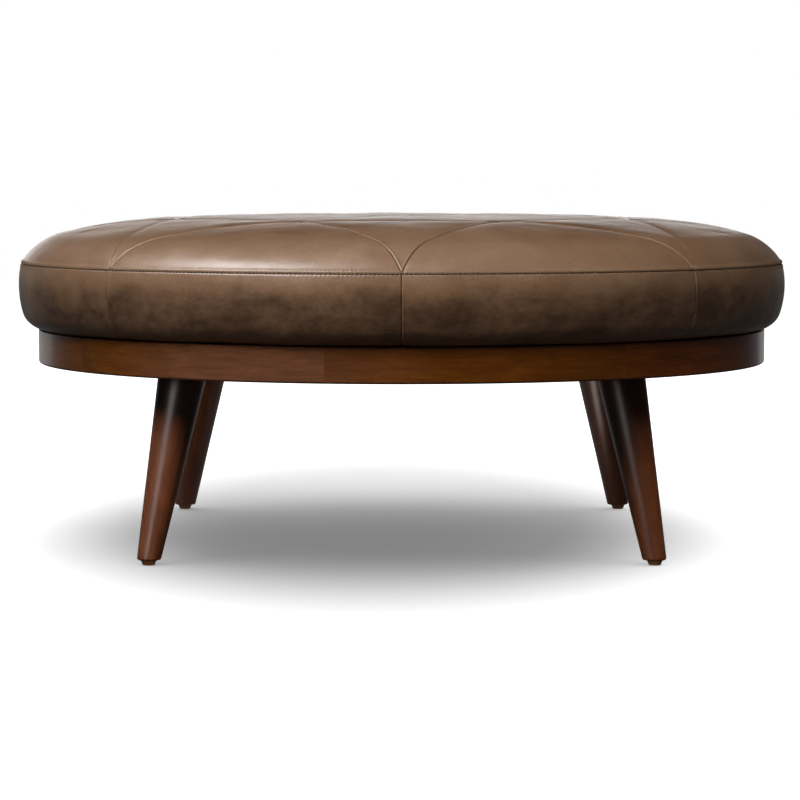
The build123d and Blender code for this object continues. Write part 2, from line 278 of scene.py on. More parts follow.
roll_centre = roll_start - lean(belly_low_normal) * roll_radius
belly_run = belly_radius * (belly_low_normal - boxing_rim_normal)
roll_run = roll_radius * (pi - belly_low_normal)
boxing_run = belly_run + roll_run + hem_width


def polar(radius, azimuth):
    return np.stack([radius * np.sin(azimuth), -radius * np.cos(azimuth)], -1)


def turn(points, azimuth):
    """Points or vectors turned about the middle of the ottoman."""
    c, s = cos(azimuth), sin(azimuth)
    x, y = points[..., 0], points[..., 1]
    return np.stack([c * x - s * y, s * x + c * y, points[..., 2]], -1)


def upright(radius, height, out, up, azimuth):
    """Points and normals at these azimuths, from their radius and height and the normal's two parts."""
    flat = polar(np.ones_like(azimuth), azimuth)
    points = np.concatenate([flat * radius[..., None], height[..., None]], -1)
    return points, np.concatenate([flat * out[..., None], up[..., None]], -1)


def on_crown(plan):
    """Points and normals of the top over plan points."""
    radius = np.hypot(plan[..., 0], plan[..., 1])
    azimuth = np.arctan2(plan[..., 0], -plan[..., 1])
    zones = [radius < dome_edge[0], radius < shoulder_end[0]]
    bend = np.select(zones, [dome_radius, crown_radius], shoulder_radius)
    middle = np.select(zones, [dome_centre[0], crown_centre[0]], shoulder_centre[0])
    level = np.select(zones, [dome_centre[1], crown_centre[1]], shoulder_centre[1])
    out = (radius - middle) / bend
    up = np.sqrt(1 - out ** 2)
    return upright(radius, level + bend * up, out, up, azimuth)


def on_boxing(azimuth, run):
    """Points and normals of the side, at these distances down from the rim and round to the hem's edge."""
    belly_lean = boxing_rim_normal + run / belly_radius
    roll_lean = np.minimum(belly_low_normal + (run - belly_run) / roll_radius, pi)
    on_belly = run < belly_run
    angle = np.where(on_belly, belly_lean, roll_lean)
    bend = np.where(on_belly, belly_radius, roll_radius)
    middle = np.where(on_belly, belly_centre[0], roll_centre[0])
    level = np.where(on_belly, belly_centre[1], roll_centre[1])
    past = np.maximum(run - belly_run - roll_run, 0)
    out, up = np.sin(angle), np.cos(angle)
    return upright(middle + bend * out - past, level + bend * up, out, up, azimuth)


# Leather panels: each is a grid across (u) and along (v), whose edges are the seams

def spaced(length, fine, coarse, fine_ends):
    """Steps from 0 to 1 that are fine at the start, or at both ends, and coarse elsewhere."""
    steps = [0.0]
    while steps[-1] < length:
        near = steps[-1] if fine_ends == "start" else min(steps[-1], length - steps[-1])
        steps.append(steps[-1] + min(coarse, fine + max(near, 0) * step_growth))
    return np.array(steps) / steps[-1]


star_left = polar(star_ring_radius, -pitch / 2)
star_right = polar(star_ring_radius, pitch / 2)
star_tip = polar(rim_radius, 0.0)


def centre_surface(u, v):
    return on_crown(v[..., None] * (star_left + (star_right - star_left) * u[..., None]))


def star_surface(u, v):
    base = star_left + (star_right - star_left) * u[..., None]
    return on_crown(base + (star_tip - base) * v[..., None])


def rim_surface(u, v):
    apex = star_right
    return on_crown(apex + (polar(rim_radius, pitch * u) - apex) * v[..., None])


def side_surface(u, v):
    return on_boxing(pitch * u, boxing_run * v)


octagon_side = 2 * star_ring_radius * sin(pitch / 2)
octagon_reach = star_ring_radius * cos(pitch / 2)
octagon_columns = spaced(octagon_side, seam_step, field_step, "both")
rim_columns = spaced(rim_radius * pitch, rim_seam_step, rim_step, "both")
centre_rows = 1 - spaced(octagon_reach, seam_step, field_step, "start")[::-1]
star_rows = spaced(rim_radius - octagon_reach, seam_step, slope_step, "both")
rim_rows = 1 - spaced(rim_radius - star_ring_radius, seam_step, slope_step, "start")[::-1]
side_rows = spaced(boxing_run, seam_step, slope_step, "start")
panel_kinds = {
    "centre": (centre_surface, octagon_columns, centre_rows),
    "star": (star_surface, octagon_columns, star_rows),
    "rim": (rim_surface, rim_columns, rim_rows),
    "side": (side_surface, rim_columns, side_rows),
}
# How each edge is sewn. The panel that laps over is raised and rubbed pale,
# and the one under it is darkened in the fold, partly by dirt and partly by painted shade.
panel_edges = {
    "centre": {"left": "butted", "right": "butted", "far": "lap under"},
    "star": {"left": "lap over", "right": "lap over", "near": "lap over"},
    "rim": {"left": "lap under", "right": "lap under", "far": "rim over"},
    "side": {"left": "lap over", "right": "lap under", "near": "rim under"},
}
# Height of the raised edge, how far in it stands, the radius that the edge rolls down by,
# and how much it is rubbed pale (+) or darkened in the fold by dirt and painted shade (-)
edge_forms = {
    "butted": (0.35, 1.8, 1.4, -0.2),
    "lap over": (0.8, 1.5, 1.2, 0.12),
    "lap under": (0.1, 2.5, 1.6, -0.55),
    "rim over": (1.3, 2.2, 2.0, 0.5),
    "rim under": (0.1, 2.5, 2.4, -0.5),
}


def edge_line(surface, edge):
    """Points along one edge of a panel, a millimetre or so apart."""
    along = np.linspace(0, 1, edge_point_count)
    fixed = np.full_like(along, 1.0 if edge in ("right", "far") else 0.0)
    return surface(fixed, along)[0] if edge in ("left", "right") else surface(along, fixed)[0]


def distance_to(points, line):
    """How far each point is from a line, and how far along the line its nearest point is."""
    tree = kdtree.KDTree(len(line))
    for place, spot in enumerate(line):
        tree.insert(spot, place)
    tree.balance()
    runs = np.concatenate([[0], np.cumsum(np.linalg.norm(np.diff(line, axis=0), axis=1))])
    found = [tree.find(point) for point in points.reshape(-1, 3)]
    away = np.array([hit[2] for hit in found]).reshape(points.shape[:-1])
    along = runs[np.array([hit[1] for hit in found])].reshape(points.shape[:-1])
    return away, along


def bump_at(distance, middle, width):
    return np.exp(-((distance - middle) / width) ** 2)


def rolled(distance, radius):
    """Drop of an edge that turns down in a quarter round."""
    inside = np.clip(radius - distance, 0, radius)
    return radius - np.sqrt(radius ** 2 - inside ** 2)


def seam_relief(form, distance, along):
    """How the leather stands at one edge, and its tone there, pale where rubbed and darkened in a fold by
    dirt and painted shade: a puffed shoulder, then a raised and rolled edge.
    """
    lip, lip_place, roll_radius, wear_dirt_and_shade = edge_forms[form]
    relief = lip * bump_at(distance, lip_place, lip_place) - rolled(distance, roll_radius)
    relief -= shoulder_drop * np.exp(-distance / shoulder_reach)
    if form.startswith("rim"):
        tooth = np.cos(2 * pi * along / stitch_pitch)
        relief += tooth_height * tooth * bump_at(distance, lip_place, lip_place)
    else:
        tug = np.cos(2 * pi * along / tug_pitch + tug_wander * np.sin(along / tug_wander_length))
        relief += tug_height * tug * bump_at(distance, tug_pitch / 2, tug_pitch / 2)
    # Pale where rubbed, dark in a fold, partly from dirt and partly as painted shade
    edge_wear_dirt_and_shade = wear_dirt_and_shade * bump_at(distance, 0.0, wear_width if wear_dirt_and_shade > 0 else fold_dirt_and_shade_width)
    return relief, edge_wear_dirt_and_shade


def layered_noise(points, size, seed):
    """Soft noise from about -1 to 1 over points, with features of this size in millimetres."""
    shift = Vector([stride * seed for stride in noise_stride])
    flat = (points / size).reshape(-1, 3)
    values = [noise.fractal(Vector(point) + shift, 1.0, 2.0, noise_octaves) for point in flat]
    return np.array(values).reshape(points.shape[:-1])


def pucker(points, seed):
    """Short radiating folds where the seams meet at the inner points of the star."""
    corner = on_crown(star_right)[0]
    away = points - corner
    reach = np.linalg.norm(away, axis=-1)
    angle = np.arctan2(away[..., 0], away[..., 1])
    folds = np.sin(pucker_folds * angle + seed) * bump_at(reach, pucker_place, pucker_width)
    return pucker_height * folds - pucker_dip * bump_at(reach, 0, pucker_dip_width)


def panel_shape(kind):
    """Grid of a panel at the front: its points, normals, relief, least distance to a seam, and edge tone,
    which is rubbed pale and darkened in folds by dirt and painted shade.
    """
    surface, across, along = panel_kinds[kind]
    points, normals = surface(*np.meshgrid(across, along))
    relief = np.zeros(points.shape[:-1])
    wear_dirt_and_shade = np.zeros(points.shape[:-1])
    nearest = np.full(points.shape[:-1], np.inf)
    for edge, form in panel_edges[kind].items():
        distance, run = distance_to(points, edge_line(surface, edge))
        raised, edge_wear_dirt_and_shade = seam_relief(form, distance, run)
        relief += raised
        wear_dirt_and_shade += edge_wear_dirt_and_shade
        nearest = np.minimum(nearest, distance)
    return points, normals, relief, nearest, wear_dirt_and_shade


def cubic_weights(targets, count):
    """Matrix that takes values at even steps from 0 to 1 to smooth values at these targets."""
    place = np.clip(targets, 0, 1) * (count - 1)
    first = np.minimum(place.astype(int), count - 2)
    t = place - first
    parts = [(-t + 2 * t ** 2 - t ** 3) / 2, (2 - 5 * t ** 2 + 3 * t ** 3) / 2,
             (t + 4 * t ** 2 - 3 * t ** 3) / 2, (t ** 3 - t ** 2) / 2]
    weights = np.zeros((len(targets), count))
    for step, part in enumerate(parts):
        np.add.at(weights, (np.arange(len(targets)), np.clip(first + step - 1, 0, count - 1)), part)
    return weights


def stuffed_cover():
    """How the filling pushes each panel out between its sewn edges, by a cloth simulation of the cover."""
    sheets, facing, faces, pins, start = [], [], [], [], 0
    for kind, (rows, columns) in cloth_grids.items():
        surface = panel_kinds[kind][0]
        low = 0.0 if kind in ("star", "side") else cloth_apex_share
        high = 1.0 - cloth_apex_share if kind == "star" else 1.0
        u, v = np.meshgrid(np.linspace(0, 1, columns), np.linspace(low, high, rows))
        points, normals = surface(u, v)
        held = np.ones((rows, columns), bool)
        held[1:-1, 1:-1] = False
        if kind == "side":
            held |= v * boxing_run > belly_run + roll_run * cloth_hem_share
        for place in range(panel_count):
            sheets.append(turn(points, pitch * place).reshape(-1, 3))
            facing.append(turn(normals, pitch * place).reshape(-1, 3))
            faces.append(skin_faces(rows, columns) + start)
            pins.append(np.flatnonzero(held) + start)
            start += rows * columns
    rest = np.concatenate(sheets)
    mesh = mesh_of("cover_cloth", rest, np.concatenate(faces))
    cover = bpy.data.objects.new("cover_cloth", mesh)
    bpy.context.scene.collection.objects.link(cover)
    sewn = cover.vertex_groups.new(name="sewn")
    sewn.add(np.concatenate(pins).tolist(), 1.0, "REPLACE")
    cloth = cover.modifiers.new("cloth", "CLOTH")
    settings = cloth.settings
    settings.quality = cloth_quality
    settings.vertex_group_mass = "sewn"
    settings.mass = cloth_mass
    settings.tension_stiffness = settings.compression_stiffness = cloth_stretch_stiffness
    settings.shear_stiffness = cloth_shear_stiffness
    settings.bending_stiffness = cloth_bending_stiffness
    settings.shrink_min = -cloth_surplus_share
    settings.use_pressure = True
    settings.uniform_pressure_force = cloth_pressure
    settings.effector_weights.gravity = 0
    cloth.collision_settings.use_collision = False
    cloth.point_cache.frame_end = cloth_frames
    for step in range(1, cloth_frames + 1):
        bpy.context.scene.frame_set(step)
    shaped = cover.evaluated_get(bpy.context.evaluated_depsgraph_get()).to_mesh()
    after = np.zeros(len(rest) * 3)
    shaped.vertices.foreach_get("co", after)
    bpy.context.scene.frame_set(1)
    bpy.data.objects.remove(cover)
    moved = after.reshape(-1, 3) / mm - rest
    outward = np.concatenate(facing)
    rise = np.sum(moved * outward, axis=-1, keepdims=True)
    moved += outward * (np.clip(rise, -cloth_sink, cloth_reach) * cloth_share - rise)
    pushes, start = {}, 0
    for kind, (rows, columns) in cloth_grids.items():
        for place in range(panel_count):
            pushes[kind, place] = moved[start:start + rows * columns].reshape(rows, columns, 3)
            start += rows * columns
    return pushes


def push_on(kind, push):
    """The simulated push of one panel at the points of its finer grid."""
    across, along = panel_kinds[kind][1:]
    rows, columns = push.shape[:2]
    if kind in ("centre", "rim"):
        along = np.maximum(along - cloth_apex_share, 0) / (1 - cloth_apex_share)
    if kind == "star":
        along = np.minimum(along / (1 - cloth_apex_share), 1)
    return np.einsum("ai,bj,ijk->abk", cubic_weights(along, rows), cubic_weights(across, columns), push)


def skin_faces(rows, columns):
    """Faces of a grid, turned to look outwards."""
    index = np.arange(rows * columns).reshape(rows, columns)
    corners = [index[:-1, :-1], index[1:, :-1], index[1:, 1:], index[:-1, 1:]]
    return np.stack(corners, -1).reshape(-1, 4)


def new_piece(name, mesh, material, replaces=(), body="root"):
    """A finished piece: it rides on its body, stands for its nodes and has its material."""
    piece = bpy.data.objects.new(name, mesh)
    bpy.context.scene.collection.objects.link(piece)
    mesh.materials.append(material)
    mesh.shade_smooth()
    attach(piece, body)
    if replaces:
        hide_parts(*replaces)
    return piece


def mesh_of(name, points, faces, attributes=()):
    """Mesh in metres from points in millimetres, with named values on its points."""
    mesh = bpy.data.meshes.new(name)
    mesh.from_pydata((points.reshape(-1, 3) * mm).tolist(), [], faces.tolist())
    for label, values in attributes:
        layer = mesh.attributes.new(label, "FLOAT", "POINT")
        layer.data.foreach_set("value", np.asarray(values, np.float32).ravel())
    return mesh


def face_outwards(shape, probe):
    """Turns a panel's faces so that the leather's face looks outwards, as one probe face tells."""
    bmesh.ops.recalc_face_normals(shape, faces=shape.faces)
    if probe.normal.dot(outwards(probe.calc_center_median())) < 0:
        bmesh.ops.reverse_faces(shape, faces=shape.faces)


def sew_under(mesh):
    """Turns a panel's free edges down as seam allowances."""
    shape = bmesh.new()
    shape.from_mesh(mesh)
    bmesh.ops.remove_doubles(shape, verts=shape.verts, dist=allowance_merge * mm)
    widest = max(shape.faces, key=lambda face: face.calc_area())
    face_outwards(shape, widest)
    borders = [edge for edge in shape.edges if edge.is_boundary]
    flap = bmesh.ops.extrude_edge_only(shape, edges=borders)["geom"]
    for vertex in [item for item in flap if isinstance(item, bmesh.types.BMVert)]:
        vertex.co -= outwards(vertex.co) * (seam_allowance * mm)
    face_outwards(shape, widest)
    shape.to_mesh(mesh)
    shape.free()


def close_skin(mesh, merge=0.0):
    """Merges points that are this close, in millimetres, and turns a closed mesh's faces outwards."""
    shape = bmesh.new()
    shape.from_mesh(mesh)
    if merge:
        bmesh.ops.remove_doubles(shape, verts=shape.verts, dist=merge * mm)
    bmesh.ops.recalc_face_normals(shape, faces=shape.faces)
    shape.to_mesh(mesh)
    shape.free()


def give_thickness(piece, thickness):
    """Leather thickness, inwards from the face that shows."""
    layer = piece.modifiers.new("thickness", "SOLIDIFY")
    layer.thickness = thickness * mm
    layer.offset = -1
    layer.use_even_offset = False


def outwards(point):
    """Rough outward direction of the cushion at a point in metres."""
    radius = max(Vector(point[:2]).length, 1e-6)
    on_top = point[2] > (rim[1] - rim_margin) * mm
    past = (radius - lean_start * mm) / (lean_run * mm)
    fall = min(max(past, 0.0), 1.0) if on_top else 1.0
    flat = Vector((point[0] / radius, point[1] / radius, 0)) * fall
    lift = 1.0 - lean_at_rim * fall if on_top else 0.0
    return (flat + Vector((0, 0, lift))).normalized()


# Materials

def linear(code):
    """Scene-linear colour of an sRGB hex code."""
    parts = [int(code[place:place + 2], 16) / 255 for place in (0, 2, 4)]
    light = [part / 12.92 if part <= 0.04045 else ((part + 0.055) / 1.055) ** 2.4 for part in parts]
    return (*light, 1.0)


def add(tree, kind, sockets=None, out=0, **settings):
    """Adds a shader node, sets or joins its sockets, and returns the output to join on."""
    item = tree.nodes.new("ShaderNode" + kind)
    for label, value in settings.items():
        setattr(item, label, value)
    for label, value in (sockets or {}).items():
        if isinstance(value, bpy.types.NodeSocket):
            tree.links.new(value, item.inputs[label])
        else:
            item.inputs[label].default_value = value
    return item.outputs[out] if len(item.outputs) else item


def new_material(name):
    """A material whose node tree is still empty."""
    material = bpy.data.materials.new(name)
    material.use_nodes = True
    material.node_tree.nodes.clear()
    return material, material.node_tree


def leather():
    """Waxed, aniline-dyed cowhide: paler where it is pulled tight or rubbed, darker where it is loose, and
    darker again low on the side and in seam folds, where shade is painted on and dirt is in the folds. It is
    mottled where the wax has moved, with a satin sheen over fine pebble grain."""
    material, tree = new_material("waxed_cowhide")
    shared = add(tree, "TexCoord", out="Object")
    hide = add(tree, "Attribute", out="Fac", attribute_name="hide_place")
    # Edge tone: pale where rubbed, dark in seam folds, partly dirt and partly painted shade
    wear_dirt_and_shade = add(tree, "Attribute", out="Fac", attribute_name="wear_dirt_and_shade")
    # Tightness, which low on the side also carries painted shade
    pull_and_shade = add(tree, "Attribute", out="Fac", attribute_name="pull_and_shade")
    shift = add(tree, "CombineXYZ", {"X": hide, "Z": hide})
    place = add(tree, "VectorMath", {0: shared, 1: shift}, operation="ADD")
    place = add(tree, "VectorMath", {0: place, 1: (1.0, 1.0, 1.5)}, operation="MULTIPLY")
    # Clouds of wax about 90 mm across, blotches of 18 mm, and specks of 3 mm
    cloud = add(tree, "TexNoise", {"Vector": place, "Scale": 1 / (90 * mm), "Detail": 4,
                                   "Roughness": 0.6, "Distortion": 0.6})
    blotch = add(tree, "TexNoise", {"Vector": place, "Scale": 1 / (18 * mm), "Detail": 5,
                                    "Roughness": 0.65, "Distortion": 0.4})
    speck = add(tree, "TexNoise", {"Vector": place, "Scale": 1 / (3 * mm), "Detail": 3, "Roughness": 0.6})
    cloud_level = add(tree, "MapRange", {0: cloud, 1: 0.35, 2: 0.7, 3: -0.19, 4: 0.19})
    blotch_level = add(tree, "MapRange", {0: blotch, 1: 0.3, 2: 0.75, 3: -0.15, 4: 0.15})
    level = add(tree, "Math", {0: pull_and_shade, 1: cloud_level}, operation="ADD")
    level = add(tree, "Math", {0: level, 1: blotch_level}, operation="ADD")
    # Loose leather goes towards the dark colour and tight towards the pale; on the side this darkness is
    # partly painted shade
    slack_and_shade_share = add(tree, "MapRange", {0: level, 1: 0.0, 2: 0.5, 3: 0.0, 4: 1.0})
    tight = add(tree, "MapRange", {0: level, 1: 0.5, 2: 1.0, 3: 0.0, 4: 1.0})
    colour = add(tree, "Mix", {0: slack_and_shade_share, 6: linear("4c3525"), 7: linear("84644a")}, out=2, data_type="RGBA")
    colour = add(tree, "Mix", {0: tight, 6: colour, 7: linear("96765c")}, out=2, data_type="RGBA")
    pore = add(tree, "MapRange", {0: speck, 1: 0.5, 2: 0.8, 3: 0.0, 4: 0.3})
    colour = add(tree, "Mix", {0: pore, 6: colour, 7: linear("4f3522")}, out=2, data_type="RGBA")
    # Rubbed edges go pale; seam folds go dark, partly dirt and partly painted shade
    rubbed = add(tree, "MapRange", {0: wear_dirt_and_shade, 1: 0.0, 2: 1.0, 3: 0.0, 4: 1.0})
    fold_dirt_and_shade = add(tree, "MapRange", {0: wear_dirt_and_shade, 1: 0.0, 2: -1.0, 3: 0.0, 4: 1.0})
    colour = add(tree, "Mix", {0: rubbed, 6: colour, 7: linear("b29678")}, out=2, data_type="RGBA")
    colour = add(tree, "Mix", {0: fold_dirt_and_shade, 6: colour, 7: linear("24170e")}, out=2, data_type="RGBA")
    rough = add(tree, "MapRange", {0: blotch, 1: 0.3, 2: 0.75, 3: 0.36, 4: 0.46})
    # Pebble grain drawn at 2.2 mm, twice its real size, so that it shows; creases are about 14 mm long
    pebble = add(tree, "TexVoronoi", {"Vector": place, "Scale": 1 / (2.2 * mm)}, feature="SMOOTH_F1")
    crease = add(tree, "TexNoise", {"Vector": place, "Scale": 1 / (14 * mm), "Detail": 4,
                                    "Distortion": 1.2})
    pebble_drop = add(tree, "Math", {0: pebble, 1: -0.12}, operation="MULTIPLY")
    height = add(tree, "Math", {0: crease, 1: 0.8, 2: pebble_drop}, operation="MULTIPLY_ADD")
    relief = add(tree, "Bump", {"Height": height, "Strength": 0.5, "Distance": 0.7 * mm})
    skin = {"Base Color": colour, "Roughness": rough, "IOR": 1.5, "Specular IOR Level": 0.5,
            "Normal": relief}
    add(tree, "OutputMaterial", {"Surface": add(tree, "BsdfPrincipled", skin)})
    return material


def thread():
    """Bonded polyester thread, dark brown: its twist, drawn at 6 mm to show, gives fine slanting ribs."""
    material, tree = new_material("bonded_thread")
    shared = add(tree, "TexCoord", out="Object")
    twist = add(tree, "TexWave", {"Vector": shared, "Scale": 1 / (6 * mm), "Distortion": 2.0}, out=1,
                bands_direction="DIAGONAL")
    colour = add(tree, "Mix", {0: twist, 6: linear("1d130c"), 7: linear("38281c")}, out=2, data_type="RGBA")
    relief = add(tree, "Bump", {"Height": twist, "Strength": 0.4, "Distance": 0.2 * mm})
    shine = {"Base Color": colour, "Roughness": 0.55, "Normal": relief}
    add(tree, "OutputMaterial", {"Surface": add(tree, "BsdfPrincipled", shine)})
    return material


def stained_wood(name, board, tone, haze, change=None):
    """Walnut-stained hardwood under rubbed lacquer: fine streaks along the grain, dark pores, a soft gloss.
    The board gives coordinates whose X runs along the grain. Past a change it has a second tone, mostly
    uneven stain, which on one segment also paints sheen."""
    material, tree = new_material(name)
    place = board(tree)
    light, dark, deep = [linear(code) for code in tone]
    if change:
        start, second = change
        run = add(tree, "SeparateXYZ", {0: place})
        past = add(tree, "MapRange", {0: run, 1: start - change_blend, 2: start + change_blend})
        light = add(tree, "Mix", {0: past, 6: light, 7: linear(second[0])}, out=2, data_type="RGBA")
        dark = add(tree, "Mix", {0: past, 6: dark, 7: linear(second[1])}, out=2, data_type="RGBA")
    # Streaks 48 mm by 4 mm, a figure of 90 mm by 25 mm, and pores 14 mm by 0.8 mm, which are drawn four times
    # as wide as real ones so that they show
    streak_place = add(tree, "VectorMath", {0: place, 1: (1 / 48, 1 / 4, 1 / 4)}, operation="MULTIPLY")
    figure_place = add(tree, "VectorMath", {0: place, 1: (1 / 90, 1 / 25, 1 / 25)}, operation="MULTIPLY")
    pore_place = add(tree, "VectorMath", {0: place, 1: (1 / 14, 1 / 0.8, 1 / 0.8)}, operation="MULTIPLY")
    streak = add(tree, "TexNoise", {"Vector": streak_place, "Scale": 1 / mm, "Detail": 5,
                                    "Roughness": 0.6, "Distortion": 0.6})
    figure = add(tree, "TexNoise", {"Vector": figure_place, "Scale": 1 / mm, "Detail": 3,
                                    "Distortion": 0.8})
    pore = add(tree, "TexNoise", {"Vector": pore_place, "Scale": 1 / mm, "Detail": 2, "Roughness": 0.6})
    streak_share = add(tree, "MapRange", {0: streak, 1: 0.35, 2: 0.7, 3: 0.0, 4: 0.6})
    figure_share = add(tree, "MapRange", {0: figure, 1: 0.35, 2: 0.7, 3: 0.0, 4: 0.7})
    pore_share = add(tree, "MapRange", {0: pore, 1: 0.55, 2: 0.75, 3: 0.0, 4: 0.4})
    colour = add(tree, "Mix", {0: streak_share, 6: light, 7: dark}, out=2, data_type="RGBA")
    colour = add(tree, "Mix", {0: figure_share, 6: colour, 7: dark}, out=2, data_type="RGBA")
    colour = add(tree, "Mix", {0: pore_share, 6: colour, 7: deep}, out=2, data_type="RGBA")
    relief = add(tree, "Bump", {"Height": pore, "Strength": 0.2, "Distance": 0.1 * mm})
    wood = {"Base Color": colour, "Roughness": 0.5, "Specular IOR Level": 0.2, "Normal": relief}
    lacquer = {"Coat Weight": 0.6, "Coat Roughness": haze, "Coat IOR": 1.5}
    add(tree, "OutputMaterial", {"Surface": add(tree, "BsdfPrincipled", wood | lacquer)})
    return material


def bent_board(seed):
    """Grain that runs round the ring; the seed moves it, since each segment is a board of its own."""
    def place(tree):
        shared = add(tree, "TexCoord", out="Object")
        across = add(tree, "SeparateXYZ", {0: shared})
        back = add(tree, "SeparateXYZ", {0: shared}, out=1)
        front = add(tree, "Math", {0: back, 1: -1.0}, operation="MULTIPLY")
        azimuth = add(tree, "Math", {0: across, 1: front}, operation="ARCTAN2")
        run = add(tree, "Math", {0: azimuth, 1: ring_radius * mm, 2: board_shift * seed},
                  operation="MULTIPLY_ADD")
        flat = add(tree, "VectorMath", {0: shared, 1: (1, 1, 0)}, operation="MULTIPLY")
        radius = add(tree, "VectorMath", {0: flat}, out="Value", operation="LENGTH")
        height = add(tree, "SeparateXYZ", {0: shared}, out=2)
        return add(tree, "CombineXYZ", {"X": run, "Y": radius, "Z": height})
    return place


def turned_board(azimuth, splay):
    """Grain that runs up a leg, which leans outwards by splay at this azimuth."""
    def place(tree):
        shared = add(tree, "TexCoord", out="Object")
        level = add(tree, "Mapping", {"Vector": shared, "Rotation": (0, 0, -azimuth)})
        return add(tree, "Mapping", {"Vector": level, "Rotation": (splay, pi / 2, 0)})
    return place


def flat_board(direction):
    """Grain that runs along this plan angle."""
    def place(tree):
        shared = add(tree, "TexCoord", out="Object")
        return add(tree, "Mapping", {"Vector": shared, "Rotation": (0, 0, -direction)})
    return place


def raw_wood(name, board):
    """Planed softwood or beech, left bare: pale and dull, with straight grain about 5 mm wide."""
    material, tree = new_material(name)
    place = add(tree, "VectorMath", {0: board(tree), 1: (1 / 80, 1 / 5, 1 / 5)}, operation="MULTIPLY")
    streak = add(tree, "TexNoise", {"Vector": place, "Scale": 1 / mm, "Detail": 4, "Roughness": 0.6,
                                    "Distortion": 0.4})
    share = add(tree, "MapRange", {0: streak, 1: 0.35, 2: 0.7})
    colour = add(tree, "Mix", {0: share, 6: linear("d8b98c"), 7: linear("b98f5e")}, out=2, data_type="RGBA")
    relief = add(tree, "Bump", {"Height": streak, "Strength": 0.3, "Distance": 0.2 * mm})
    wood = {"Base Color": colour, "Roughness": 0.7, "Normal": relief}
    add(tree, "OutputMaterial", {"Surface": add(tree, "BsdfPrincipled", wood)})
    return material


def plywood():
    """Birch plywood: a pale rotary-cut face, and dark and light plies 1.5 mm thick along its edge."""
    material, tree = new_material("birch_plywood")
    shared = add(tree, "TexCoord", out="Object")
    height = add(tree, "SeparateXYZ", {0: shared}, out=2)
    phase = add(tree, "Math", {0: height, 1: 2 * pi / (3 * mm)}, operation="MULTIPLY")
    plies = add(tree, "Math", {0: phase}, operation="SINE")
    place = add(tree, "VectorMath", {0: shared, 1: (1 / 120, 1 / 8, 1)}, operation="MULTIPLY")
    grain = add(tree, "TexNoise", {"Vector": place, "Scale": 1 / mm, "Detail": 4, "Distortion": 0.3})
    ply_share = add(tree, "MapRange", {0: plies, 1: -0.3, 2: 0.3, 3: 0.0, 4: 0.6})
    grain_share = add(tree, "MapRange", {0: grain, 1: 0.35, 2: 0.7, 3: 0.0, 4: 0.5})
    pale, brown = linear("cfae7e"), linear("9a7447")
    colour = add(tree, "Mix", {0: ply_share, 6: pale, 7: brown}, out=2, data_type="RGBA")
    colour = add(tree, "Mix", {0: grain_share, 6: colour, 7: linear("e0c79c")}, out=2, data_type="RGBA")
    board = {"Base Color": colour, "Roughness": 0.65}
    add(tree, "OutputMaterial", {"Surface": add(tree, "BsdfPrincipled", board)})
    return material


def dust_cloth():
    """Black spun-bonded polypropylene cloth: matt, embossed with dots 3 mm apart."""
    material, tree = new_material("spunbond_dust_cloth")
    shared = add(tree, "TexCoord", out="Object")
    dots = add(tree, "TexVoronoi", {"Vector": shared, "Scale": 1 / (3 * mm), "Randomness": 0.2})
    fibre = add(tree, "TexNoise", {"Vector": shared, "Scale": 1 / (2 * mm), "Detail": 4,
                                   "Roughness": 0.7, "Distortion": 1.0})
    share = add(tree, "MapRange", {0: fibre, 1: 0.35, 2: 0.7})
    colour = add(tree, "Mix", {0: share, 6: linear("171615"), 7: linear("2b2a28")}, out=2, data_type="RGBA")
    relief = add(tree, "Bump", {"Height": dots, "Strength": 0.5, "Distance": 0.25 * mm})
    cloth = {"Base Color": colour, "Roughness": 0.85, "Normal": relief}
    add(tree, "OutputMaterial", {"Surface": add(tree, "BsdfPrincipled", cloth)})
    return material


def filling(name, light, dark, cell):
    """Wadding or foam: matt and pale, broken up by fibres or cells of this size in millimetres."""
    material, tree = new_material(name)
    shared = add(tree, "TexCoord", out="Object")
    fluff = add(tree, "TexNoise", {"Vector": shared, "Scale": 1 / (cell * mm), "Detail": 6,
                                   "Roughness": 0.7, "Distortion": 1.0})
    share = add(tree, "MapRange", {0: fluff, 1: 0.3, 2: 0.7})
    colour = add(tree, "Mix", {0: share, 6: linear(light), 7: linear(dark)}, out=2, data_type="RGBA")
    relief = add(tree, "Bump", {"Height": fluff, "Strength": 0.8, "Distance": 0.8 * mm})
    soft = {"Base Color": colour, "Roughness": 0.92, "Normal": relief}
    add(tree, "OutputMaterial", {"Surface": add(tree, "BsdfPrincipled", soft)})
    return material


def glide_nylon():
    """Injection-moulded brown nylon: even and slightly waxy, with scuffs 2.5 mm across where it slides."""
    material, tree = new_material("moulded_nylon")
    shared = add(tree, "TexCoord", out="Object")
    scuff = add(tree, "TexNoise", {"Vector": shared, "Scale": 1 / (2.5 * mm), "Detail": 4,
                                   "Roughness": 0.6})
    share = add(tree, "MapRange", {0: scuff, 1: 0.35, 2: 0.7})
    colour = add(tree, "Mix", {0: share, 6: linear("8a5a38"), 7: linear("a0714a")}, out=2, data_type="RGBA")
    rough = add(tree, "MapRange", {0: scuff, 1: 0.3, 2: 0.7, 3: 0.35, 4: 0.55})
    nylon = {"Base Color": colour, "Roughness": rough, "IOR": 1.53}
    add(tree, "OutputMaterial", {"Surface": add(tree, "BsdfPrincipled", nylon)})
    return material


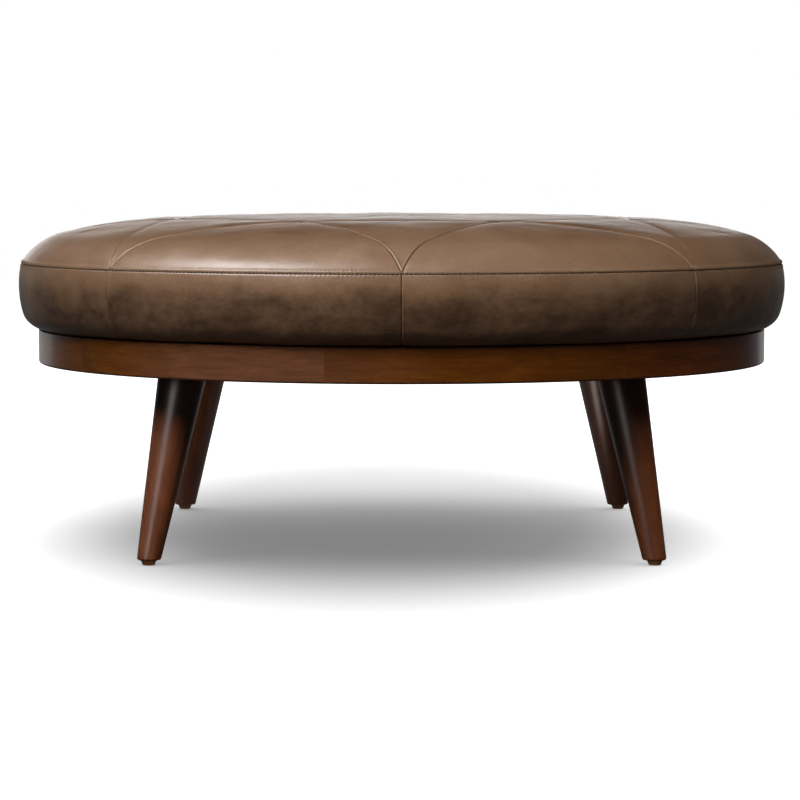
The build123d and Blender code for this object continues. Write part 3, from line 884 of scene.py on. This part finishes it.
def plated_steel(name, light, dark):
    """Zinc-plated steel: bright metal, clouded in patches of 3 mm by the passivation."""
    material, tree = new_material(name)
    shared = add(tree, "TexCoord", out="Object")
    cloud = add(tree, "TexNoise", {"Vector": shared, "Scale": 1 / (3 * mm), "Detail": 3, "Roughness": 0.6})
    share = add(tree, "MapRange", {0: cloud, 1: 0.3, 2: 0.7})
    colour = add(tree, "Mix", {0: share, 6: linear(light), 7: linear(dark)}, out=2, data_type="RGBA")
    rough = add(tree, "MapRange", {0: cloud, 1: 0.3, 2: 0.7, 3: 0.25, 4: 0.45})
    steel = {"Base Color": colour, "Metallic": 1.0, "Roughness": rough}
    add(tree, "OutputMaterial", {"Surface": add(tree, "BsdfPrincipled", steel)})
    return material


# Pieces

def leather_panels(material):
    """The 32 leather panels, with rolled edges and seam allowances. Returns those of the top."""
    pushes = stuffed_cover()
    tops = []
    for kind in panel_kinds:
        points, normals, relief, nearest, wear_dirt_and_shade = panel_shape(kind)
        for place in range(panel_count):
            seed = first_seed + place + kind_seed_step * list(panel_kinds).index(kind)
            lift = relief + panel_unevenness(kind, points, nearest, seed)
            shaped = turn(points + normals * lift[..., None], pitch * place)
            if pushes:
                shaped += push_on(kind, pushes[kind, place])
            name = f"{kind}_panel_{place + 1}"
            hide = np.full(nearest.shape, hide_stride * seed)
            # The edge tone carries painted shade in seam folds, and the tightness carries painted shade low
            # on the side
            values = [("wear_dirt_and_shade", wear_dirt_and_shade), ("hide_place", hide), ("pull_and_shade", pull_and_shade_of(kind, points))]
            mesh = mesh_of(name + "_leather", shaped, skin_faces(*nearest.shape), values)
            sew_under(mesh)
            piece = new_piece(name + "_leather", mesh, material, (name,))
            give_thickness(piece, leather_thickness)
            if kind != "side":
                tops.append(piece)
    return tops


def pull_and_shade_of(kind, points):
    """How tight the leather is: tightest over the shoulder and round the bottom edge, loosest between.
    On the side the values are also painted shade: darker on the lower part, paler up towards the rim.
    """
    if kind == "side":
        share = (points[..., 2] - hem_height) / boxing_height
        return np.interp(share, side_pull_and_shade_heights, side_pulls_and_shade)
    radius = np.hypot(points[..., 0], points[..., 1])
    share = (radius - dome_edge[0]) / (rim_radius - dome_edge[0])
    return dome_pull + shoulder_pull * np.clip(share, 0, 1) ** 2


def panel_unevenness(kind, points, nearest, seed):
    """Slow hollows of the filling, puckers, and the light wrinkles that run down the side from the rim."""
    inside = 1 - np.exp(-nearest / unevenness_reach)
    swell = swell_height * layered_noise(points, swell_size, seed) * inside
    if kind == "side":
        azimuth = np.arctan2(points[..., 0], -points[..., 1])
        height = points[..., 2]
        strip = np.stack([azimuth * rim_radius, height * wrinkle_flattening, height * 0], -1)
        reach = wrinkle_at_seam + (1 - wrinkle_at_seam) * inside
        return swell + wrinkle_height * layered_noise(strip, wrinkle_size, seed) * reach
    ripple = ripple_height * layered_noise(points, ripple_size, seed + ripple_seed_step) * inside
    return swell + ripple + pucker(points, seed)


def whole_cushion(count, top_rows, side_rows):
    """Points and normals round the whole cushion, from the middle of the top down to the hem."""
    azimuths = np.linspace(0, 2 * pi, count, endpoint=False)
    radius = np.linspace(1 / top_rows, 1, top_rows)[:, None] * rim_radius * np.ones(count)
    top, top_normal = on_crown(polar(radius, azimuths[None, :] * np.ones((top_rows, 1))))
    run = np.linspace(1 / side_rows, 1, side_rows)[:, None] * (belly_run + roll_run) * np.ones(count)
    side, side_normal = on_boxing(azimuths[None, :] * np.ones((side_rows, 1)), run)
    return np.concatenate([top, side]), np.concatenate([top_normal, side_normal])


def closed_round(name, points):
    """Closed mesh of rings of points, joined round, with a lid at each end."""
    rows, columns = points.shape[:2]
    index = np.arange(rows * columns).reshape(rows, columns)
    across = np.roll(index, -1, axis=1)
    faces = np.stack([index[:-1], across[:-1], across[1:], index[1:]], -1).reshape(-1, 4).tolist()
    lids = [index[0].tolist(), index[-1].tolist()]
    mesh = bpy.data.meshes.new(name)
    mesh.from_pydata((points.reshape(-1, 3) * mm).tolist(), [], faces + lids)
    close_skin(mesh)
    return mesh


def wadding_piece(material):
    """Polyester wadding: one blanket over the foam that stands up into each leather panel."""
    points, normals = whole_cushion(*wadding_grid)
    seams = []
    for kind, edges in panel_edges.items():
        for edge in edges:
            line = edge_line(panel_kinds[kind][0], edge)[::wadding_seam_skip]
            seams += [turn(line, pitch * place) for place in range(panel_count)]
    distance = distance_to(points, np.concatenate(seams))[0]
    ease = np.clip(distance / wadding_reach, 0, 1)
    lift = wadding_crown * ease * ease * (3 - 2 * ease) - wadding_inset
    outer = points + normals * lift[..., None]
    inner = points - normals * (wadding_inset + wadding_thickness)
    shell = np.concatenate([outer[outer[:, 0, 2] > deck_top], inner[inner[:, 0, 2] > deck_top][::-1]])
    mesh = closed_round("wadding", shell)
    piece = new_piece("fibre_wadding", mesh, material, ("fibre_wrap",))


def foam_piece(material):
    """Polyurethane foam block: crowned on top, flat on the deck."""
    points, normals = whole_cushion(*foam_grid)
    points = points - normals * foam_inset
    points = points[points[:, 0, 2] > deck_top]
    foot = points[-1:].copy()
    foot[..., 2] = deck_top
    mesh = closed_round("foam", np.concatenate([points, foot]))
    piece = new_piece("foam_block", mesh, material, ("foam_core",))


def rim_stitching(material):
    """Stitches of the rim seam, each a short slanting bead of thread in the groove."""
    count = round(2 * pi * rim_radius / stitch_pitch)
    seat = rim - lean((crown_rim_normal + boxing_rim_normal) / 2) * stitch_sink
    around = np.linspace(0, 2 * pi, bead_sides, endpoint=False)
    swell = np.linspace(0, pi, bead_rings)[:, None]
    bead = np.stack([-np.cos(swell) * stitch_length / 2 + 0 * around,
                     np.sin(swell) * np.cos(around) * stitch_width / 2,
                     np.sin(swell) * np.sin(around) * stitch_width / 2], -1).reshape(-1, 3)
    c, s = cos(stitch_slant), sin(stitch_slant)
    slant = np.array([[c, 0, s], [0, 1, 0], [-s, 0, c]])
    bead = bead @ slant + np.array([0, -seat[0], seat[1]])
    index = np.arange(bead_rings * bead_sides).reshape(bead_rings, bead_sides)
    across = np.roll(index, -1, axis=1)
    faces = np.stack([index[:-1], index[1:], across[1:], across[:-1]], -1).reshape(-1, 4)
    points = np.concatenate([turn(bead, 2 * pi * place / count) for place in range(count)])
    all_faces = np.concatenate([faces + len(bead) * place for place in range(count)])
    mesh = mesh_of("rim_stitching", points, all_faces)
    close_skin(mesh, stitch_merge)
    new_piece("rim_stitching", mesh, material)


def dress_nodes():
    """Materials of the wooden, metal, plastic and cloth pieces, whose shape the frame gives."""
    finishes = {"seat_deck": plywood(), "dust_cover": dust_cloth(), "foot_glides": glide_nylon()}
    finishes["ring_dowels"] = raw_wood("beech_dowel", flat_board(0.0))
    lower_rail = finishes["lower_cross_rail"] = raw_wood("pine_rail_lower", flat_board(pi / 4))
    upper_rail = finishes["upper_cross_rail"] = raw_wood("pine_rail_upper", flat_board(-pi / 4))
    steel = plated_steel("zinc_plated_steel", "c9ccce", "9fa3a6")
    screws = plated_steel("yellow_zinc_screw", "c6b27a", "94835a")
    finishes.update(hanger_bolts=steel, threaded_inserts=steel, hem_staples=steel, wood_screws=screws)
    for place in range(leg_count):
        leg = f"leg_{place + 1}"
        grain = turned_board(pi / 4 + pi / 2 * place, leg_splay)
        finishes[leg] = stained_wood(f"walnut_stained_{leg}", grain, leg_tone, leg_haze)
        finishes[f"leg_block_{place + 1}"] = upper_rail if place % 2 else lower_rail
    for place, tone in enumerate(ring_tones):
        segment = f"ring_segment_{place + 1}"
        change = None
        if place in ring_changes:
            azimuth, second = ring_changes[place]
            change = (azimuth * ring_radius * mm + board_shift * place, second)
        grain = bent_board(place)
        finishes[segment] = stained_wood(f"walnut_stained_{segment}", grain, tone, ring_haze, change)
    for name, finish in finishes.items():
        for slot in nodes[name].material_slots:
            slot.material = finish


# Studio

def mirrored_look(tree):
    """1 where a mirror or clear glass is what looks, and 0 elsewhere."""
    glossy = add(tree, "LightPath", out="Is Glossy Ray")
    through = add(tree, "LightPath", out="Is Transmission Ray")
    return add(tree, "Math", {0: glossy, 1: through}, operation="MAXIMUM")


def floor():
    """Plain floor: white to the camera, dark grey to the light it bounces, dim in reflections except behind,
    with a soft shadow that is partly cast by its lamp and partly painted by a glow that the camera sees
    weaker under the ottoman.
    """
    material, tree = new_material("studio_floor")
    place = add(tree, "TexCoord", out="Object")
    direct = add(tree, "LightPath", out="Is Camera Ray")
    mirrored = mirrored_look(tree)
    # Painted shadow: the glow the camera sees is weakest in an oval under the ottoman, moved and squeezed to
    # the shadow's shape, and rises to full white outwards
    squeezed = add(tree, "Mapping", {"Vector": place, "Location": shadow_shift, "Scale": shadow_squeeze})
    reach = add(tree, "VectorMath", {0: squeezed}, out="Value", operation="LENGTH")
    fade = {0: reach, 1: floor_near, 2: floor_far, 3: painted_shadow_glow, 4: 1.0}
    shadow_painting_glow = add(tree, "MapRange", fade, interpolation_type="SMOOTHSTEP")
    way = add(tree, "VectorMath", {0: place}, operation="NORMALIZE")
    behind = add(tree, "VectorMath", {0: way, 1: bright_side}, out="Value", operation="DOT_PRODUCT")
    start, end = floor_turn
    lit_behind = add(tree, "MapRange", {0: behind, 1: start, 2: end, 3: mirrored_dim, 4: mirrored_floor})
    seen = add(tree, "Math", {0: direct, 1: shadow_painting_glow}, operation="MULTIPLY")
    glow = add(tree, "Math", {0: mirrored, 1: lit_behind, 2: seen}, operation="MULTIPLY_ADD")
    paint = add(tree, "Mix", {0: direct, 6: linear("454443"), 7: linear("fafafa")}, out=2, data_type="RGBA")
    matt = add(tree, "BsdfDiffuse", {"Color": paint})
    light = add(tree, "Emission", {"Strength": glow})
    add(tree, "OutputMaterial", {"Surface": add(tree, "AddShader", {0: matt, 1: light})})
    corners = [(x * floor_half, y * floor_half, 0) for x, y in ((-1, -1), (1, -1), (1, 1), (-1, 1))]
    mesh = bpy.data.meshes.new("studio_floor")
    mesh.from_pydata(corners, [], [(0, 1, 2, 3)])
    mesh.materials.append(material)
    ground = bpy.data.objects.new("studio_floor", mesh)
    bpy.context.scene.collection.objects.link(ground)
    return ground


def softbox(name, place, target, size, power, gives, things, state):
    """Rectangular lamp that faces a point. It gives its light, its sheen or both to these things (INCLUDE),
    or to everything but them (EXCLUDE)."""
    lamp = bpy.data.lights.new(name, "AREA")
    lamp.shape = "RECTANGLE"
    lamp.size, lamp.size_y = size
    lamp.energy = power
    holder = bpy.data.objects.new(name, lamp)
    holder.location = place
    holder.rotation_euler = (Vector(target) - Vector(place)).to_track_quat("-Z", "Y").to_euler()
    holder.visible_camera = False
    holder.visible_glossy = gives != "light"
    holder.visible_diffuse = gives != "sheen"
    bpy.context.scene.collection.objects.link(holder)
    chosen = bpy.data.collections.new("lit_by_" + name)
    for thing in things:
        chosen.objects.link(thing)
    for entry in chosen.collection_objects:
        entry.light_linking.link_state = state
    holder.light_linking.receiver_collection = chosen


def lamps(ground, tops):
    """Hangs the lamps of the plan, each for its own pieces."""
    ring = [nodes[f"ring_segment_{place + 1}"] for place in range(panel_count)]
    legs = [nodes[f"leg_{place + 1}"] for place in range(leg_count)]
    right_back, left_back = legs[1], legs[2]
    rear = [bpy.data.objects[f"side_panel_{number}_leather"] for number in rear_side_panels]
    rear += [nodes[f"ring_segment_{number}"] for number in rear_ring_segments]
    groups = {
        "ottoman": ([ground], "EXCLUDE"),
        "floor": ([ground], "INCLUDE"),
        "top": (tops, "INCLUDE"),
        "ring": (ring, "INCLUDE"),
        "legs": (legs, "INCLUDE"),
        "left back leg": ([left_back], "INCLUDE"),
        "right back leg": ([right_back], "INCLUDE"),
        "back legs": ([right_back, left_back], "INCLUDE"),
        "glides": ([nodes["foot_glides"]], "INCLUDE"),
        "rear": (rear + [right_back, left_back], "INCLUDE"),
    }
    for name, (*form, group) in lamp_plan.items():
        softbox(name, *form, *groups[group])


def surround():
    """White room to the camera. Its light is weak, and reflections see it bright behind, dark in front."""
    world = bpy.data.worlds.new("studio")
    world.use_nodes = True
    tree = world.node_tree
    tree.nodes.clear()
    way = add(tree, "TexCoord", out="Generated")
    behind = add(tree, "VectorMath", {0: way, 1: bright_side}, out="Value", operation="DOT_PRODUCT")
    rise = add(tree, "SeparateXYZ", {0: way}, out=2)
    low = add(tree, "MapRange", {0: rise, 1: room_rise[0], 2: room_rise[1], 3: 1.0, 4: room_top})
    start, end = room_turn
    white = add(tree, "MapRange", {0: behind, 1: start, 2: end, 3: mirrored_dim, 4: mirrored_room})
    mirrored = add(tree, "Math", {0: low, 1: white}, operation="MULTIPLY")
    lit = add(tree, "Mix", {0: mirrored_look(tree), 2: room_light, 3: mirrored})
    strength = add(tree, "Mix", {0: add(tree, "LightPath", out="Is Camera Ray"), 2: lit, 3: 1.0})
    sky = {"Color": (1, 1, 1, 1), "Strength": strength}
    add(tree, "OutputWorld", {"Surface": add(tree, "Background", sky)})
    bpy.context.scene.world = world


def camera():
    """Camera at the photograph's place, level across and pitched down to its horizon."""
    data = bpy.data.cameras.new("camera")
    data.sensor_width = sensor_width
    data.lens = focal_length_px / frame_width_px * sensor_width
    holder = bpy.data.objects.new("camera", data)
    pitch_down = atan((frame_width_px / 2 - horizon_px) / focal_length_px)
    holder.location = Vector((camera_shift, -camera_distance, camera_height)) * mm
    holder.rotation_euler = (pi / 2 - pitch_down, 0, 0)
    bpy.context.scene.collection.objects.link(holder)
    bpy.context.scene.camera = holder


bpy.context.scene.view_settings.view_transform = "Standard"
camera()
surround()
lamps(floor(), leather_panels(leather()))
rim_stitching(thread())
wadding_piece(filling("polyester_wadding", "f4f3ee", "dedbd2", 6))
foam_piece(filling("polyurethane_foam", "efe3b4", "ddcf9a", 2))
dress_nodes()
